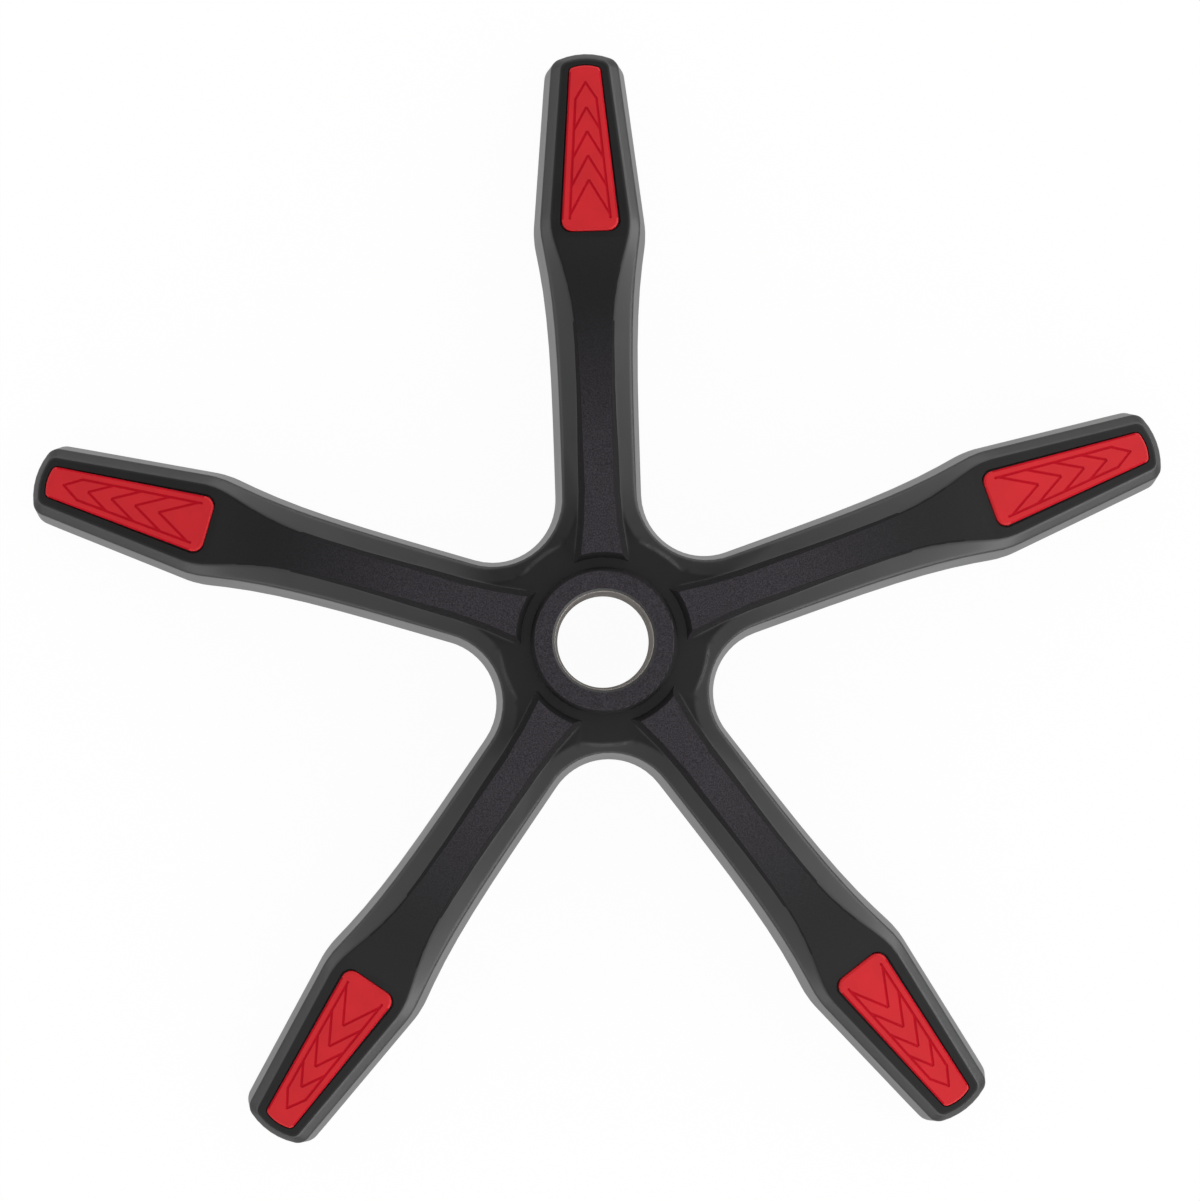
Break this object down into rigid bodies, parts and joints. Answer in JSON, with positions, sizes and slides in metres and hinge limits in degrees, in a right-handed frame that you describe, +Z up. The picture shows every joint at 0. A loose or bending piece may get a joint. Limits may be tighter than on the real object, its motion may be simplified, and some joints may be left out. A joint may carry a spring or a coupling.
{
  "type": "office chair five star base",
  "caption": "Star-shaped office chair base with arched, ribbed arms, a steel-lined bore for the gas lift, caster sockets under the tips and red foot pads.",
  "frame": {"origin": "on the axis of the lift bore, at the steel sleeve's upper rim", "axes": "+Z up along the bore, the way the gas lift leaves; +Y along the first arm"},
  "size_m": [0.591, 0.5653, 0.075],
  "materials": {
    "black_nylon": "fine-grained black moulding with smoother sloping flanks",
    "sleeve_steel": "plain turned steel",
    "red_pad": "satin red with engraved lines"
  },
  "bodies": {
    "root": {"base_moulding": "black_nylon", "lift_sleeve": "sleeve_steel", "foot_pad_1": "red_pad", "foot_pad_2": "red_pad", "foot_pad_3": "red_pad", "foot_pad_4": "red_pad", "foot_pad_5": "red_pad"}
  },
  "joints": []
}
